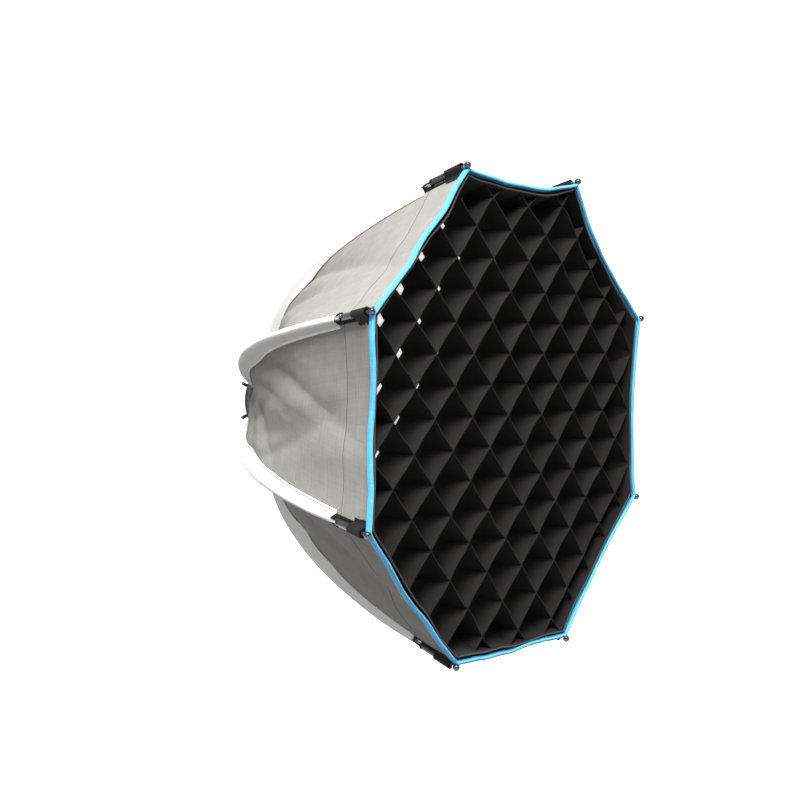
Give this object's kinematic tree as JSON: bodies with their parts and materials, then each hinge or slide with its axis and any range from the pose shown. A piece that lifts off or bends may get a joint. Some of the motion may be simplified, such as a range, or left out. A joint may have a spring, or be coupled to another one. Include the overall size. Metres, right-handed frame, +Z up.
{
  "type": "octabox",
  "caption": "Folding eight-rib octagonal softbox with a bayonet mount ring, fabric canopy, inner baffle, front diffuser and eggcrate grid.",
  "frame": {"origin": "centre of the mount ring's rear face, where the lamp sits", "axes": "+Y along the light axis towards the lamp, so the open front faces -Y; +Z up, with a flat side of the octagon at the top"},
  "size_m": [0.5582, 0.3998, 0.5582],
  "materials": {
    "canopy_fabric": "woven warm grey nylon, matt with a faint sheen",
    "sleeve_fabric": "white woven webbing that sleeves the ribs",
    "blue_binding": "light blue woven edge binding",
    "white_fabric": "white translucent diffusion cloth",
    "silver_lining": "silver coated lining",
    "black_fabric": "black woven polyester, matt",
    "black_plastic": "moulded, fine texture",
    "dark_aluminium": "turned and dark anodised",
    "screw_steel": "zinc plated",
    "spring_steel": "drawn spring steel",
    "black_steel": "glossy black"
  },
  "bodies": {
    "hub": {"mount_ring": "dark_aluminium", "hub_body": "black_plastic", "hub_cover": "black_plastic", "hub_screw_1": "screw_steel", "hub_screw_2": "screw_steel", "hub_screw_3": "screw_steel", "hub_screw_4": "screw_steel", "rib_pin_1": "screw_steel", "rib_pin_2": "screw_steel", "rib_pin_3": "screw_steel", "rib_pin_4": "screw_steel", "rib_pin_5": "screw_steel", "rib_pin_6": "screw_steel", "rib_pin_7": "screw_steel", "rib_pin_8": "screw_steel"},
    "rib_1": {"rib_socket_1": "black_plastic", "rib_rod_1": "spring_steel", "rib_tip_1": "black_steel", "canopy_panel_1": "canopy_fabric"},
    "button_1": {"release_button_1": "black_plastic"},
    "rib_2": {"rib_socket_2": "black_plastic", "rib_rod_2": "spring_steel", "rib_tip_2": "black_steel", "canopy_panel_2": "canopy_fabric"},
    "button_2": {"release_button_2": "black_plastic"},
    "rib_3": {"rib_socket_3": "black_plastic", "rib_rod_3": "spring_steel", "rib_tip_3": "black_steel", "canopy_panel_3": "canopy_fabric"},
    "button_3": {"release_button_3": "black_plastic"},
    "rib_4": {"rib_socket_4": "black_plastic", "rib_rod_4": "spring_steel", "rib_tip_4": "black_steel", "canopy_panel_4": "canopy_fabric"},
    "button_4": {"release_button_4": "black_plastic"},
    "rib_5": {"rib_socket_5": "black_plastic", "rib_rod_5": "spring_steel", "rib_tip_5": "black_steel", "canopy_panel_5": "canopy_fabric"},
    "button_5": {"release_button_5": "black_plastic"},
    "rib_6": {"rib_socket_6": "black_plastic", "rib_rod_6": "spring_steel", "rib_tip_6": "black_steel", "canopy_panel_6": "canopy_fabric"},
    "button_6": {"release_button_6": "black_plastic"},
    "rib_7": {"rib_socket_7": "black_plastic", "rib_rod_7": "spring_steel", "rib_tip_7": "black_steel", "canopy_panel_7": "canopy_fabric"},
    "button_7": {"release_button_7": "black_plastic"},
    "rib_8": {"rib_socket_8": "black_plastic", "rib_rod_8": "spring_steel", "rib_tip_8": "black_steel", "canopy_panel_8": "canopy_fabric"},
    "button_8": {"release_button_8": "black_plastic"},
    "baffle": {"inner_baffle": "white_fabric"},
    "diffuser": {"front_diffuser": "white_fabric"},
    "grid": {"grid": "black_fabric"}
  },
  "joints": [
    {"name": "rib_1_fold", "type": "hinge", "parent": "hub", "child": "rib_1", "pos_m": [0.03788, -0.021, 0.01569], "axis": [0.3827, 0, -0.9239], "range_deg": [0, 32], "deforming": ["canopy_panel_1"]},
    {"name": "rib_2_fold", "type": "hinge", "parent": "hub", "child": "rib_2", "pos_m": [0.01569, -0.021, 0.03788], "axis": [0.9239, 0, -0.3827], "range_deg": [0, 32], "deforming": ["canopy_panel_2"]},
    {"name": "rib_3_fold", "type": "hinge", "parent": "hub", "child": "rib_3", "pos_m": [-0.01569, -0.021, 0.03788], "axis": [0.9239, 0, 0.3827], "range_deg": [0, 32], "deforming": ["canopy_panel_3"]},
    {"name": "rib_4_fold", "type": "hinge", "parent": "hub", "child": "rib_4", "pos_m": [-0.03788, -0.021, 0.01569], "axis": [0.3827, 0, 0.9239], "range_deg": [0, 32], "deforming": ["canopy_panel_4"]},
    {"name": "rib_5_fold", "type": "hinge", "parent": "hub", "child": "rib_5", "pos_m": [-0.03788, -0.021, -0.01569], "axis": [-0.3827, 0, 0.9239], "range_deg": [0, 32], "deforming": ["canopy_panel_5"]},
    {"name": "rib_6_fold", "type": "hinge", "parent": "hub", "child": "rib_6", "pos_m": [-0.01569, -0.021, -0.03788], "axis": [-0.9239, 0, 0.3827], "range_deg": [0, 32], "deforming": ["canopy_panel_6"]},
    {"name": "rib_7_fold", "type": "hinge", "parent": "hub", "child": "rib_7", "pos_m": [0.01569, -0.021, -0.03788], "axis": [-0.9239, 0, -0.3827], "range_deg": [0, 32], "deforming": ["canopy_panel_7"]},
    {"name": "rib_8_fold", "type": "hinge", "parent": "hub", "child": "rib_8", "pos_m": [0.03788, -0.021, -0.01569], "axis": [-0.3827, 0, -0.9239], "range_deg": [0, 32], "deforming": ["canopy_panel_8"]},
    {"name": "baffle_unhook", "type": "slide", "parent": "hub", "child": "baffle", "axis": [0, -1, 0], "range_m": [0, 0.2954], "deforming": ["inner_baffle"]},
    {"name": "diffuser_unhook", "type": "slide", "parent": "hub", "child": "diffuser", "axis": [0, -1, 0], "range_m": [0, 0.1574], "deforming": ["front_diffuser"]},
    {"name": "grid_pull_off", "type": "slide", "parent": "diffuser", "child": "grid", "axis": [0, -1, 0], "range_m": [0, 0.12], "deforming": ["grid"]},
    {"name": "release_1_press", "type": "slide", "parent": "hub", "child": "button_1", "axis": [0, -1, 0], "range_m": [0, 0.0024], "stiffness_N_per_m": 400, "springref_m": -0.002},
    {"name": "release_2_press", "type": "slide", "parent": "hub", "child": "button_2", "axis": [0, -1, 0], "range_m": [0, 0.0024], "stiffness_N_per_m": 400, "springref_m": -0.002},
    {"name": "release_3_press", "type": "slide", "parent": "hub", "child": "button_3", "axis": [0, -1, 0], "range_m": [0, 0.0024], "stiffness_N_per_m": 400, "springref_m": -0.002},
    {"name": "release_4_press", "type": "slide", "parent": "hub", "child": "button_4", "axis": [0, -1, 0], "range_m": [0, 0.0024], "stiffness_N_per_m": 400, "springref_m": -0.002},
    {"name": "release_5_press", "type": "slide", "parent": "hub", "child": "button_5", "axis": [0, -1, 0], "range_m": [0, 0.0024], "stiffness_N_per_m": 400, "springref_m": -0.002},
    {"name": "release_6_press", "type": "slide", "parent": "hub", "child": "button_6", "axis": [0, -1, 0], "range_m": [0, 0.0024], "stiffness_N_per_m": 400, "springref_m": -0.002},
    {"name": "release_7_press", "type": "slide", "parent": "hub", "child": "button_7", "axis": [0, -1, 0], "range_m": [0, 0.0024], "stiffness_N_per_m": 400, "springref_m": -0.002},
    {"name": "release_8_press", "type": "slide", "parent": "hub", "child": "button_8", "axis": [0, -1, 0], "range_m": [0, 0.0024], "stiffness_N_per_m": 400, "springref_m": -0.002}
  ],
  "couplings": [
    {"joint": "rib_2_fold", "follows": "rib_1_fold", "ratio": 1},
    {"joint": "rib_3_fold", "follows": "rib_1_fold", "ratio": 1},
    {"joint": "rib_4_fold", "follows": "rib_1_fold", "ratio": 1},
    {"joint": "rib_5_fold", "follows": "rib_1_fold", "ratio": 1},
    {"joint": "rib_6_fold", "follows": "rib_1_fold", "ratio": 1},
    {"joint": "rib_7_fold", "follows": "rib_1_fold", "ratio": 1},
    {"joint": "rib_8_fold", "follows": "rib_1_fold", "ratio": 1},
    {"joint": "baffle_unhook", "follows": "rib_1_fold", "m_per_rad": 0.528},
    {"joint": "diffuser_unhook", "follows": "rib_1_fold", "m_per_rad": 0.281}
  ]
}
